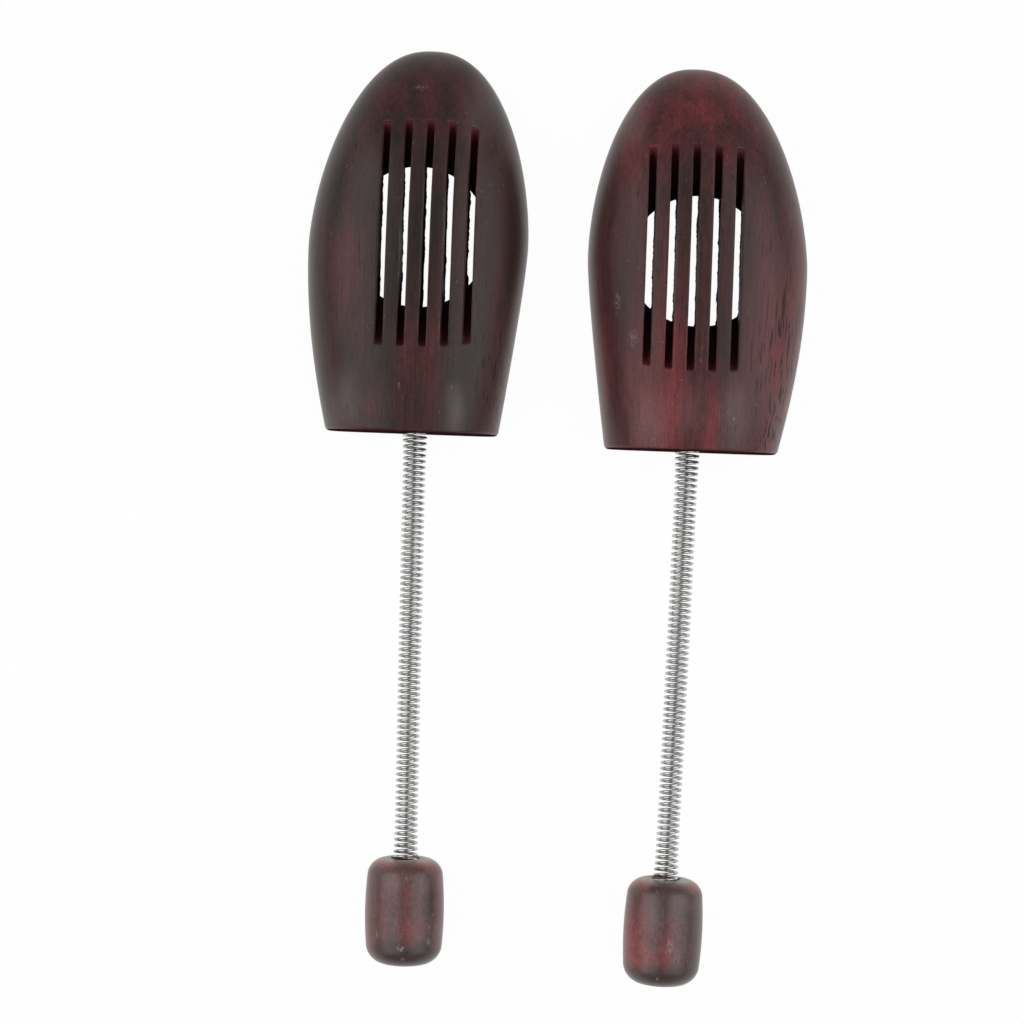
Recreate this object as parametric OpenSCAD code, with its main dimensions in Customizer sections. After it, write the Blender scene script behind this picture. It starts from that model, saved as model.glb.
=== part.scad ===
// A pair of sprung wooden shoe trees lying side by side, toes towards +Y.
// Each has a domed forefoot block with five saw slots over a bored pocket,
// an open coil spring, and a turned heel knob that lies on the floor.
// Sizes are in millimetres. The left tree is drawn, and the right one mirrors it.

/* [Forefoot block] */
// Length of the block from its rear face to the toe tip
block_len = 119.8; // [105:0.1:135]
// Width of the rear face
rear_w = 53.7; // [48:0.1:60]
// Greatest width, across the ball of the foot
ball_w = 68.4; // [62:0.2:76]
// Distance from the rear face to the widest place
ball_at = 58.3; // [50:0.1:64]
// How far the toe tip leans towards the other shoe
toe_shift = 2.3; // [0:0.1:6]
// Height of the top of the dome
dome_h = 35; // [32:0.5:40]
// Height of the rear face
rear_h = 33; // [29:0.5:38]
// Fall of the top line from the ball to the toe, apart from its round nose
toe_fall = 12; // [6:0.5:16]
// Height of the toe tip above the floor
tip_h = 8; // [6:0.5:12]
// Lift of the sole under the toe
toe_lift = 4; // [0:0.5:5]
// Radius of the edge round the rear face
rear_edge_r = 1.2; // [0.6:0.1:2.5]

/* [Pocket under the block] */
// Diameter of the pocket bored from the underside
pocket_d = 44; // [36:0.5:48]
// Depth of the pocket above the floor
pocket_depth = 22; // [19:0.5:24]
// Distance from the left block's rear face to the middle of its pocket's ceiling
left_pocket_at = 60.5; // [57:0.1:64]
// Distance from the right block's rear face to the middle of its pocket's ceiling
right_pocket_at = 61.4; // [57:0.1:64]
// Width of the chamfer round the pocket's mouth
pocket_chamfer = 0.8; // [0.3:0.1:1.5]
// Lean of the left pocket, positive with its ceiling towards the toe
left_pocket_lean = -4.5; // [-8:0.5:8]
// Lean of the right pocket
right_pocket_lean = 7; // [-8:0.5:8]
// Sideways lean of both pockets, positive with their mouths outwards
pocket_side_lean = 1.7; // [-4:0.1:4]

/* [Saw slots] */
// Number of slots side by side
slot_count = 5; // [3:2:7]
// Width of each slot
slot_w = 2.4; // [1.8:0.1:3.4]
// Distance from one slot to the next
slot_pitch = 6.7; // [5.4:0.1:7.4]
// Length of the slots along the block, seen from above
slot_len = 70.3; // [62:0.1:74]
// Radius of the saw that plunges in from above
saw_r = 42; // [39.5:0.5:46]
// Offset of the left block's middle slot towards the other shoe
left_slot_shift = 2.65; // [0:0.05:5]
// Offset of the right block's middle slot
right_slot_shift = 2.15; // [0:0.05:5]
// Distance from the left block's rear face to the rear ends of its slots
left_slot_from = 26; // [22:0.1:30]
// Distance from the right block's rear face to the rear ends of its slots
right_slot_from = 24.25; // [22:0.05:30]
// Lean of the left slots, positive with their tops outwards
left_slot_lean = 3.4; // [-2:0.1:5]
// Lean of the right slots
right_slot_lean = 0; // [-2:0.1:3]

/* [Springs] */
// Thickness of the wire
wire_d = 1.1; // [0.9:0.05:1.4]
// Outside diameter of the coils in the middle of the spring
coil_od = 7.2; // [6.4:0.1:8]
// Outside diameter of the coils beside and inside the wood
end_od = 7.8; // [6.8:0.1:8.8]
// Length over which the coils widen beside the wood
flare_len = 15; // [5:1:30]
// Whole length of the spring along its middle line
spring_len = 154; // [148:0.5:170]
// Length held in the wood at each end of the left spring
left_held = 10.9; // [9:0.1:14]
// Length held in the wood at each end of the right spring
right_held = 10.5; // [9:0.1:14]
// Number of turns modelled along the whole spring
turns = 46; // [30:1:46]

/* [Spring bores] */
// Height of the spring's middle line at the rear face
bore_z = 15; // [13:0.2:18]
// Offset of the spring's middle line towards the other shoe
bore_x = 1.15; // [-4:0.05:4]
// Upward angle of the bore in the block
bore_rise = 7; // [2:0.5:12]
// Sideways angle of the bore, positive with the knob towards the other shoe
bore_yaw = 0.8; // [-3:0.1:3]
// Radial room between the end coils and the bores
bore_room = 0.15; // [0.1:0.01:0.3]
// Depth of wood left free beyond the spring's end
bore_spare = 2; // [1:0.5:4]
// Width of the chamfer round each bore's mouth
bore_chamfer = 0.6; // [0.3:0.1:1.2]

/* [Heel knob] */
// Greatest diameter of the barrel
knob_d = 24.6; // [21:0.05:28]
// Length of the barrel
knob_len = 33.9; // [30:0.1:42]
// Radius of the bulge along the barrel's side
knob_side_r = 120; // [80:1:200]
// Radius of the barrel's edge at the spring
spring_edge_r = 5.3; // [3:0.1:7]
// Radius of the crowned end at the spring
spring_crown_r = 60; // [40:1:120]
// Radius of the barrel's edge at the heel
heel_edge_r = 6.2; // [4:0.1:8]
// Radius of the crowned heel end
heel_crown_r = 30; // [20:1:120]

/* [Place of each tree] */
// Distance between the middles of the two rear faces
tree_gap = 87; // [80:0.5:120]
// How far the left tree lies ahead of the right one
stagger = 5.8; // [-10:0.1:20]
// Turn of both trees, with their toes towards the right
tree_turn = 2.1; // [0:0.1:6]

/* [Hidden] */
$fn = 96;

LEFT = 1;
RIGHT = -1;
beyond = 1;
wood_stain = [0.27, 0.13, 0.13];
steel = [0.72, 0.72, 0.70];

// How full the curves of the block are: 2 is an ellipse, and more is squarer
waist_power = 1.57;
nose_power = 1.7;
nose_root = 0.45;
dome_power = 2.25;
sole_power = 3.2;
top_nose_power = 4;
sole_nose_power = 5;
sole_lift_from = 0.45;
// Part of the section's height that lies below its widest line
widest_part = 0.36;
// Depth to which the curved skin runs on below the flat sole
sole_skin = 1.2;
// Faces of the block's skin
rear_stations = 8;
nose_stations = 15;
section_points = 48;
// Faces of the spring's wire
rings_per_turn = 8;
wire_sides = 6;
// Faces of the knob's outline
side_steps = 12;
corner_steps = 8;
crown_steps = 4;

function pick(side, left, right) = side == LEFT ? left : right;

// Outline and height of the block, by distance v ahead of its rear face
function to_rear(v) = max(0, (ball_at - v) / ball_at);
function to_toe(v) = min(1, max(0, (v - ball_at) / (block_len - ball_at)));
function edge_inset(v) = v >= rear_edge_r ? 0 : rear_edge_r - sqrt(rear_edge_r ^ 2 - (rear_edge_r - v) ^ 2);
function waist(v) = (ball_w - rear_w) / 2 * to_rear(v) ^ waist_power;
function half_width(v) = (ball_w / 2 - waist(v)) * (1 - to_toe(v) ^ nose_power) ^ nose_root - edge_inset(v);
// The middle line swings out at the waist, as far as it takes to run smoothly into the leaning toe
waist_swing = toe_shift * ball_at / (PI * (block_len - ball_at));
function middle_x(v) = v < ball_at ? -waist_swing * sin(180 * v / ball_at) : toe_shift * to_toe(v);
function top_line(v) = dome_h - (dome_h - rear_h) * to_rear(v) ^ 2 - toe_fall * to_toe(v) ^ 2;
function top_z(v) = tip_h + (top_line(v) - tip_h) * sqrt(1 - to_toe(v) ^ top_nose_power) - edge_inset(v);
function lift(v) = max(0, (to_toe(v) - sole_lift_from) / (1 - sole_lift_from)) ^ 2;
function sole_line(v) = (toe_lift + sole_skin) * lift(v) - sole_skin;
function bottom_z(v) = tip_h - (tip_h - sole_line(v)) * sqrt(1 - to_toe(v) ^ sole_nose_power);
function widest_z(v) = bottom_z(v) + widest_part * (top_z(v) - bottom_z(v));

// One point of a section: a full dome above the widest line, a squarer curve below it
function power_of(a) = a < 180 ? dome_power : sole_power;
function rounded(t, power) = sign(t) * abs(t) ^ (2 / power);
function reach_z(v, a) = a < 180 ? top_z(v) - widest_z(v) : widest_z(v) - bottom_z(v);
function section_point(v, a) = [
    middle_x(v) + half_width(v) * rounded(cos(a), power_of(a)),
    v,
    widest_z(v) + reach_z(v, a) * rounded(sin(a), power_of(a))
];
function section(v) = [for (k = [0 : section_points - 1]) section_point(v, 360 * k / section_points)];
stations = concat(
    [0, 0.3 * rear_edge_r],
    [for (k = [0 : rear_stations]) rear_edge_r + (ball_at - rear_edge_r) * k / rear_stations],
    [for (k = [1 : nose_stations - 1]) ball_at + (block_len - ball_at) * sin(90 * k / nose_stations)]
);

// Faces between rings of equal count, each split into two triangles
function band(ring, count) = [
    for (k = [0 : count - 1]) each [
        [ring * count + k, ring * count + (k + 1) % count, (ring + 1) * count + k],
        [ring * count + (k + 1) % count, (ring + 1) * count + (k + 1) % count, (ring + 1) * count + k]
    ]
];
function bands(rings, count) = [for (ring = [0 : rings - 2]) each band(ring, count)];
function first_cap(count) = [for (k = [1 : count - 2]) [0, k + 1, k]];
function last_cap(start, count) = [for (k = [1 : count - 2]) [start, start + k, start + k + 1]];

module block_skin() {
    tip = [toe_shift, block_len, tip_h];
    last = (len(stations) - 1) * section_points;
    points = concat([for (v = stations) each section(v)], [tip]);
    nose = [
        for (k = [0 : section_points - 1])
            [last + k, last + (k + 1) % section_points, len(points) - 1]
    ];
    polyhedron(points, concat(first_cap(section_points), bands(len(stations), section_points), nose));
}

module below_sole() {
    translate([-ball_w, -beyond, -2 * sole_skin])
        cube([2 * ball_w, block_len + 2 * beyond, 2 * sole_skin]);
}

// The pocket leans about the middle of its ceiling
module pocket(side) {
    lean = pick(side, left_pocket_lean, right_pocket_lean);
    mouth = pocket_depth / cos(lean);
    run_out = pocket_d * tan(abs(lean) + abs(pocket_side_lean));
    flared = pocket_chamfer + run_out;
    translate([0, pick(side, left_pocket_at, right_pocket_at), pocket_depth])
        rotate([180 - lean, pocket_side_lean, 0]) {
            cylinder(d = pocket_d, h = mouth + run_out);
            translate([0, 0, mouth - pocket_chamfer])
                cylinder(d1 = pocket_d, d2 = pocket_d + 2 * flared, h = flared);
        }
}

// Slots from one plunge of a gang of round saws, whose arbor stays above the dome.
// The saw's edge meets the top line at both ends of the slots.
function slot_from(side) = pick(side, left_slot_from, right_slot_from);
function slot_fall(side) = top_z(slot_from(side)) - top_z(slot_from(side) + slot_len);
function slot_chord(side) = norm([slot_len, slot_fall(side)]);
function saw_rise(side) = sqrt(saw_r ^ 2 - (slot_chord(side) / 2) ^ 2);
function arbor_y(side) =
    slot_from(side) + slot_len / 2 + saw_rise(side) * slot_fall(side) / slot_chord(side);
function arbor_z(side) =
    top_z(slot_from(side)) - slot_fall(side) / 2 + saw_rise(side) * slot_len / slot_chord(side);
module saw_slots(side) {
    top = top_z(arbor_y(side));
    for (k = [0 : slot_count - 1]) {
        shift = pick(side, left_slot_shift, right_slot_shift);
        slot_x = shift + (k - (slot_count - 1) / 2) * slot_pitch;
        translate([slot_x, arbor_y(side), top])
            rotate([0, -pick(side, left_slot_lean, right_slot_lean), 0])
                translate([-slot_w / 2, 0, arbor_z(side) - top])
                    rotate([0, 90, 0])
                        cylinder(r = saw_r, h = slot_w);
    }
}

// How the spring lies at rest: straight in the block, an arch to the knob, straight in the knob.
// The arch bends as a bar does that is held in the block and loaded at the knob, and falls
// to the knob at the slope at which the barrel's belly just meets the floor.
function held(side) = pick(side, left_held, right_held);
function show(side) = spring_len - 2 * held(side);
radian = 180 / PI;
// Sums of the arch's slope and of its square, up to where a share w of its length is left
function slope_sum(side, fall, w) =
    show(side) / radian * ((bore_rise + fall) * (1 - w ^ 3) / 3 - fall * (1 - w));
function square_sum(side, fall, w) = show(side) / radian ^ 2 * (
    (bore_rise + fall) ^ 2 * (1 - w ^ 5) / 5
    - 2 * (bore_rise + fall) * fall * (1 - w ^ 3) / 3
    + fall ^ 2 * (1 - w)
);
function knob_z(fall) = knob_side_r - (knob_side_r - knob_d / 2) * cos(fall);
function end_z(side, fall) = bore_z + slope_sum(side, fall, 0);
function above_floor(side, fall) = end_z(side, fall) - knob_len / 2 * sin(fall) - knob_z(fall);
function solve_fall(side, low, high, steps) =
    steps == 0 ? (low + high) / 2
    : above_floor(side, (low + high) / 2) > 0 ? solve_fall(side, (low + high) / 2, high, steps - 1)
    : solve_fall(side, low, (low + high) / 2, steps - 1);
left_fall = solve_fall(LEFT, 0.5 - bore_rise, 45, 40);
right_fall = solve_fall(RIGHT, 0.5 - bore_rise, 45, 40);
function knob_fall(side) = pick(side, left_fall, right_fall);

// Slope, backward run and height of the middle line at s beyond the rear face
function left_over(side, s) = 1 - min(show(side), max(0, s)) / show(side);
function slope(side, s) = (bore_rise + knob_fall(side)) * left_over(side, s) ^ 2 - knob_fall(side);
function before(s) = min(0, s);
function after(side, s) = max(0, s - show(side));
function run_back(side, s) =
    before(s) * cos(bore_rise)
    + show(side) * (1 - left_over(side, s)) - square_sum(side, knob_fall(side), left_over(side, s)) / 2
    + after(side, s) * cos(knob_fall(side));
function line_z(side, s) =
    bore_z + before(s) * sin(bore_rise)
    + slope_sum(side, knob_fall(side), left_over(side, s))
    - after(side, s) * sin(knob_fall(side));
function unmirrored_point(side, s) = [
    bore_x + run_back(side, s) * sin(bore_yaw),
    -run_back(side, s) * cos(bore_yaw),
    line_z(side, s)
];
function mirrored(side, p) = [side * p[0], p[1], p[2]];
function line_point(side, s) = mirrored(side, unmirrored_point(side, s));
function across(side) = [cos(bore_yaw), side * sin(bore_yaw), 0];
function up_from_line(side, s) = [
    -side * sin(bore_yaw) * sin(slope(side, s)),
    cos(bore_yaw) * sin(slope(side, s)),
    cos(slope(side, s))
];

// The wire winds round the middle line, wider beside the wood. Both springs are right-handed.
middle_r = (coil_od - wire_d) / 2;
end_r = (end_od - wire_d) / 2;
function from_wood(side, s) = max(0, min(s, show(side) - s));
function coil_r(side, s) = middle_r + (end_r - middle_r) * max(0, 1 - from_wood(side, s) / flare_len) ^ 2;
function winding(s) = -360 * turns * s / spring_len;
function outward(side, s) = sin(winding(s)) * across(side) + cos(winding(s)) * up_from_line(side, s);
function wire_point(side, s) = line_point(side, s) + coil_r(side, s) * outward(side, s);
function unit(v) = v / norm(v);
small_step = spring_len / turns / 400;
function wire_way(side, s) = unit(wire_point(side, s + small_step) - wire_point(side, s - small_step));
function ring(middle, out, way) = [
    for (k = [0 : wire_sides - 1])
        middle + wire_d / 2 * (cos(360 * k / wire_sides) * out + sin(360 * k / wire_sides) * cross(out, way))
];
function wire_ring(side, s) = ring(wire_point(side, s), outward(side, s), wire_way(side, s));
// Each end of the wire runs straight on for one thickness
function tail_ring(side, s, way_sign) = ring(
    wire_point(side, s) + way_sign * wire_d * wire_way(side, s), outward(side, s), wire_way(side, s)
);
ring_count = turns * rings_per_turn;
function ring_s(side, k) = spring_len * k / ring_count - held(side);

module spring(side) {
    points = concat(
        tail_ring(side, ring_s(side, 0), -1),
        [for (k = [0 : ring_count]) each wire_ring(side, ring_s(side, k))],
        tail_ring(side, ring_s(side, ring_count), 1)
    );
    rings = ring_count + 3;
    last = (rings - 1) * wire_sides;
    faces = concat(first_cap(wire_sides), bands(rings, wire_sides), last_cap(last, wire_sides));
    color(steel)
        polyhedron(points, faces);
}

// Least gap of the wire to itself, from each ring to those about one turn further on
function gaps_from(side, k) = [
    for (n = [rings_per_turn / 2 : 3 * rings_per_turn / 2])
        if (k + n <= ring_count)
            norm(wire_point(side, ring_s(side, k)) - wire_point(side, ring_s(side, k + n))) - wire_d
];
function least_gap(side) = min([for (k = [0 : ring_count - rings_per_turn]) min(gaps_from(side, k))]);
echo(str("Least gap of the left spring to itself: ", least_gap(LEFT), " mm"));
echo(str("Least gap of the right spring to itself: ", least_gap(RIGHT), " mm"));

// Blind bore for the end of a spring, from a mouth at the origin down along -Z
bore_d = end_od + 2 * bore_room;
module spring_bore(depth) {
    translate([0, 0, -depth])
        cylinder(d = bore_d, h = depth + beyond);
    translate([0, 0, -bore_chamfer])
        cylinder(d1 = bore_d, d2 = bore_d + 2 * (bore_chamfer + beyond), h = bore_chamfer + beyond);
}
function bore_depth(side) = held(side) + wire_d + bore_spare;

module forefoot_block(side) {
    color(wood_stain)
        difference() {
            block_skin();
            below_sole();
            pocket(side);
            saw_slots(side);
            translate([bore_x, 0, bore_z])
                rotate([90 - bore_rise, 0, bore_yaw])
                    spring_bore(bore_depth(side));
        }
}

// Outline of the barrel: a long side bulge, round edges and crowned ends, rounder at the heel.
// The arc of each edge runs smoothly into the side's arc and the crown's arc.
function edge_middle(edge_r, a) = [
    knob_d / 2 - knob_side_r + (knob_side_r - edge_r) * cos(a),
    (knob_side_r - edge_r) * sin(a)
];
function crown_middle(crown_r) = [0, knob_len / 2 - crown_r];
function crown_miss(edge_r, crown_r, a) =
    norm(edge_middle(edge_r, a) - crown_middle(crown_r)) - (crown_r - edge_r);
function solve_edge(edge_r, crown_r, low, high, steps) =
    steps == 0 ? (low + high) / 2
    : crown_miss(edge_r, crown_r, (low + high) / 2) > 0
        ? solve_edge(edge_r, crown_r, low, (low + high) / 2, steps - 1)
        : solve_edge(edge_r, crown_r, (low + high) / 2, high, steps - 1);
function on_arc(middle, r, a) = middle + r * [cos(a), sin(a)];
function arc_points(middle, r, from, to, steps) =
    [for (k = [1 : steps]) on_arc(middle, r, from + (to - from) * k / steps)];
function half_outline(edge_r, crown_r) = let (
    start = solve_edge(edge_r, crown_r, 0, 45, 40),
    middle = edge_middle(edge_r, start),
    inward = middle - crown_middle(crown_r),
    end = atan2(inward[1], inward[0])
) concat(
    arc_points([knob_d / 2 - knob_side_r, 0], knob_side_r, 0, start, side_steps / 2),
    arc_points(middle, edge_r, start, end, corner_steps),
    arc_points(crown_middle(crown_r), crown_r, end, 90, crown_steps)
);
spring_half = half_outline(spring_edge_r, spring_crown_r);
heel_half = half_outline(heel_edge_r, heel_crown_r);
lower_outline = [for (k = [len(spring_half) - 1 : -1 : 0]) [spring_half[k][0], -spring_half[k][1]]];

module heel_knob(side) {
    middle = unmirrored_point(side, show(side) + knob_len / 2);
    color(wood_stain)
        translate(middle)
            rotate([90 + knob_fall(side), 0, bore_yaw])
                difference() {
                    rotate_extrude()
                        polygon(concat(lower_outline, [[knob_d / 2, 0]], heel_half));
                    translate([0, 0, -knob_len / 2])
                        rotate([180, 0, 0])
                            spring_bore(bore_depth(side));
                }
}

// Where the trees lie: the middle of the floor under the pair is the origin
reach_back = max(
    run_back(RIGHT, show(RIGHT) + knob_len) + stagger / 2,
    run_back(LEFT, show(LEFT) + knob_len) - stagger / 2
);
reach_ahead = block_len + stagger / 2;
pair_x = -ball_at * sin(tree_turn);
pair_y = (reach_back - reach_ahead) / 2;

module lay(side) {
    translate([pair_x - side * tree_gap / 2, pair_y + side * stagger / 2, 0])
        rotate([0, 0, -tree_turn])
            children();
}

module left_forefoot_block() {
    lay(LEFT) forefoot_block(LEFT);
}

module left_spring() {
    lay(LEFT) spring(LEFT);
}

module left_heel_knob() {
    lay(LEFT) heel_knob(LEFT);
}

module right_forefoot_block() {
    lay(RIGHT) mirror([1, 0, 0]) forefoot_block(RIGHT);
}

module right_spring() {
    lay(RIGHT) spring(RIGHT);
}

module right_heel_knob() {
    lay(RIGHT) mirror([1, 0, 0]) heel_knob(RIGHT);
}

left_forefoot_block();
left_spring();
left_heel_knob();
right_forefoot_block();
right_spring();
right_heel_knob();
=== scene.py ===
"""Looks for a pair of sprung wooden shoe trees: stained wood blocks and knobs, bright wound springs.

Sizes are in millimetres, as in the part's source, and become metres when a mesh is made.
Each tree is built in its own frame, with its rear face at y = 0, its toe towards +y and
its sole at z = 0. The left tree is drawn, and the right one mirrors it.
"""

import math

import bpy
import numpy as np
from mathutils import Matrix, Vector


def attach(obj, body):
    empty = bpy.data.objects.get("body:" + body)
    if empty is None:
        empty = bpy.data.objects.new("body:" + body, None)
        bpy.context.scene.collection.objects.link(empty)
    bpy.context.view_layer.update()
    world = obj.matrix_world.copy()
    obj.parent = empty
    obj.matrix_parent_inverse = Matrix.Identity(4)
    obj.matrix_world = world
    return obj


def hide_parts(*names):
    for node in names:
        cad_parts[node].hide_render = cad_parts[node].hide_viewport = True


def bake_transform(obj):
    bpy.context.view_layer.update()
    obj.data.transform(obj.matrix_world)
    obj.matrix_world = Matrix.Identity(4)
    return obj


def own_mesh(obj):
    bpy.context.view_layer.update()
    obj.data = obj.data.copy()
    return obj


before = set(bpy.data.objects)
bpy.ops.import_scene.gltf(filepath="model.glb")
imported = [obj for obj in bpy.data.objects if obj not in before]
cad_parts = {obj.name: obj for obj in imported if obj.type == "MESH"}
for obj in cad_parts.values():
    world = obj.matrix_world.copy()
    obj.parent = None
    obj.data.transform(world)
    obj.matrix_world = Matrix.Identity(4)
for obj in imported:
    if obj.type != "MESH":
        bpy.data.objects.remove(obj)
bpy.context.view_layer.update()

MM = 0.001
LEFT, RIGHT = 1, -1

# Forefoot block
BLOCK_LEN, REAR_W, BALL_W, BALL_AT, TOE_SHIFT = 119.8, 53.7, 68.4, 58.3, 2.3
DOME_H, REAR_H, TOE_FALL, TIP_H, TOE_LIFT, REAR_EDGE_R = 35.0, 33.0, 12.0, 8.0, 4.0, 1.2
WAIST_POWER, NOSE_POWER, NOSE_ROOT, DOME_POWER, SOLE_POWER = 1.57, 1.7, 0.45, 2.25, 3.2
TOP_NOSE_POWER, SOLE_NOSE_POWER, SOLE_LIFT_FROM = 4.0, 5.0, 0.45
WIDEST_PART, SOLE_SKIN = 0.36, 1.2

# Pocket, slots and bores
POCKET_R, POCKET_DEPTH, POCKET_CHAMFER, POCKET_FLOOR_CHAMFER, POCKET_SIDE_LEAN = 22.0, 22.0, 0.8, 0.3, 1.7
SLOT_COUNT, SLOT_W, SLOT_PITCH, SLOT_LEN, SAW_R = 5, 2.4, 6.7, 70.3, 42.0
BORE_Z, BORE_X, BORE_RISE, BORE_YAW = 15.0, 1.15, 7.0, 0.8
BORE_ROOM, BORE_SPARE, BORE_CHAMFER, BORE_POINT = 0.15, 2.0, 0.6, 0.8

# Torn fibres where the slots break through: how far they reach, how deep they go, and the worst wall
TEAR_REACH, TEAR_DEPTH, WORST_TEAR = 1.1, 0.42, 0.75
TEAR_WAVES = ((0.7, 0.35), (1.9, 0.4), (6.0, 0.35))

# Springs, with the real number of turns, and the wire as thin as its gaps make it look
WIRE_D, WIRE_SEEN, COIL_OD, END_OD, FLARE_LEN, SPRING_LEN = 1.1, 0.88, 7.2, 7.8, 15.0, 154.0
TURNS = 83
TURN_LEAN = 4.0

# Heel knobs
KNOB_R, KNOB_LEN, KNOB_SIDE_R = 12.3, 33.9, 120.0
SPRING_EDGE_R, SPRING_CROWN_R, HEEL_EDGE_R, HEEL_CROWN_R = 5.3, 60.0, 6.2, 30.0

# Place of the trees on the floor
TREE_GAP, STAGGER, TREE_TURN = 87.0, 5.8, 2.1


def sind(a):
    return math.sin(math.radians(a))


def cosd(a):
    return math.cos(math.radians(a))


def tand(a):
    return math.tan(math.radians(a))


class Tree:
    """What differs between the two trees, and where each stands."""

    def __init__(self, name, side, held, slot_from, slot_shift, slot_lean, pocket_at, pocket_lean):
        self.name, self.side, self.held = name, side, held
        self.slot_from, self.slot_shift, self.slot_lean = slot_from, slot_shift, slot_lean
        self.pocket_at, self.pocket_lean = pocket_at, pocket_lean
        self.show = SPRING_LEN - 2 * held
        self.fall = self.solve_fall()

    def slope_sum(self, fall, left):
        """Height that the spring's arch gains up to where a share of its length is left."""
        return self.show * math.radians((BORE_RISE + fall) * (1 - left**3) / 3 - fall * (1 - left))

    def square_sum(self, left):
        """Sum of the arch's squared slope up to there."""
        bend, fall = math.radians(BORE_RISE + self.fall), math.radians(self.fall)
        fifths, thirds = (1 - left**5) / 5, (1 - left**3) / 3
        return self.show * (bend**2 * fifths - 2 * bend * fall * thirds + fall**2 * (1 - left))

    def solve_fall(self):
        """Slope at which the spring's arch brings the knob's belly down to the floor."""
        low, high = 0.5 - BORE_RISE, 45.0
        for _ in range(40):
            fall = (low + high) / 2
            end_z = BORE_Z + self.slope_sum(fall, 0)
            belly_z = end_z - KNOB_LEN / 2 * sind(fall) - KNOB_SIDE_R + (KNOB_SIDE_R - KNOB_R) * cosd(fall)
            low, high = (fall, high) if belly_z > 0 else (low, fall)
        return (low + high) / 2

    def left_over(self, s):
        return 1 - min(self.show, max(0.0, s)) / self.show

    def line_point(self, s):
        """Middle line of the spring at s behind the rear face, in the frame of an unmirrored tree."""
        left, before, after = self.left_over(s), min(0.0, s), max(0.0, s - self.show)
        arch = self.show * (1 - left) - self.square_sum(left) / 2
        run = before * cosd(BORE_RISE) + arch + after * cosd(self.fall)
        z = BORE_Z + before * sind(BORE_RISE) + self.slope_sum(self.fall, left) - after * sind(self.fall)
        return np.array([BORE_X + run * sind(BORE_YAW), -run * cosd(BORE_YAW), z])

    def reach_back(self):
        return -self.line_point(self.show + KNOB_LEN)[1] / cosd(BORE_YAW)

    def origin(self):
        """Middle of the rear face, in the shared frame."""
        return PAIR_X - self.side * TREE_GAP / 2, PAIR_Y + self.side * STAGGER / 2

    def to_row(self, points):
        """Points of this tree in millimetres, as points of the shared frame in metres."""
        p = np.atleast_2d(np.asarray(points, float))
        (x0, y0), c, s = self.origin(), cosd(TREE_TURN), sind(TREE_TURN)
        return np.stack([x0 + p[:, 0] * c + p[:, 1] * s, y0 - p[:, 0] * s + p[:, 1] * c, p[:, 2]], 1) * MM

    def mirrored(self, points):
        return np.atleast_2d(points) * np.array([self.side, 1, 1])


LEFT_TREE = Tree("left", LEFT, held=10.9, slot_from=26.0, slot_shift=2.65, slot_lean=3.4,
                 pocket_at=60.5, pocket_lean=-4.5)
RIGHT_TREE = Tree("right", RIGHT, held=10.5, slot_from=24.25, slot_shift=2.15, slot_lean=0.0,
                  pocket_at=61.4, pocket_lean=7.0)
TREES = (LEFT_TREE, RIGHT_TREE)
PAIR_X = -BALL_AT * sind(TREE_TURN)
PAIR_Y = (max(t.reach_back() - t.side * STAGGER / 2 for t in TREES) - BLOCK_LEN - STAGGER / 2) / 2


# Mesh helpers

def make_object(name, points, faces, smooth=True):
    mesh = bpy.data.meshes.new(name)
    mesh.from_pydata([tuple(p) for p in points], [], [tuple(f) for f in faces])
    mesh.validate()
    mesh.polygons.foreach_set("use_smooth", [smooth] * len(mesh.polygons))
    obj = bpy.data.objects.new(name, mesh)
    bpy.context.scene.collection.objects.link(obj)
    return obj


def ring_bands(rings, count):
    """Quads between rings of equal count that close on themselves."""
    faces = []
    for r in range(rings - 1):
        for k in range(count):
            n = (k + 1) % count
            faces.append((r * count + k, r * count + n, (r + 1) * count + n, (r + 1) * count + k))
    return faces


def lathe(profile, count):
    """Closed solid turned about the z axis from (radius, z) points that start and end on the axis."""
    angles = np.linspace(0, 2 * math.pi, count, endpoint=False)
    inner = profile[1:-1]
    points = [(r * math.cos(a), r * math.sin(a), z) for r, z in inner for a in angles]
    faces = ring_bands(len(inner), count)
    first, last = len(points), len(points) + 1
    points += [(0, 0, profile[0][1]), (0, 0, profile[-1][1])]
    end = (len(inner) - 1) * count
    faces += [(first, (k + 1) % count, k) for k in range(count)]
    faces += [(last, end + k, end + (k + 1) % count) for k in range(count)]
    return np.array(points), faces


def turned(points, axis, degrees):
    """Points turned about a coordinate axis through the origin."""
    c, s = cosd(degrees), sind(degrees)
    i, j = {"x": (1, 2), "y": (2, 0), "z": (0, 1)}[axis]
    out = np.array(points, float)
    out[:, i], out[:, j] = points[:, i] * c - points[:, j] * s, points[:, i] * s + points[:, j] * c
    return out


def evaluated(obj, name):
    """A new object that holds obj's mesh with its modifiers applied."""
    graph = bpy.context.evaluated_depsgraph_get()
    mesh = bpy.data.meshes.new_from_object(obj.evaluated_get(graph))
    mesh.name = name
    out = bpy.data.objects.new(name, mesh)
    bpy.context.scene.collection.objects.link(out)
    return out


def coordinates(obj):
    co = np.zeros(len(obj.data.vertices) * 3, np.float32)
    obj.data.vertices.foreach_get("co", co)
    return co.reshape(-1, 3).astype(float)


# Forefoot block

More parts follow.
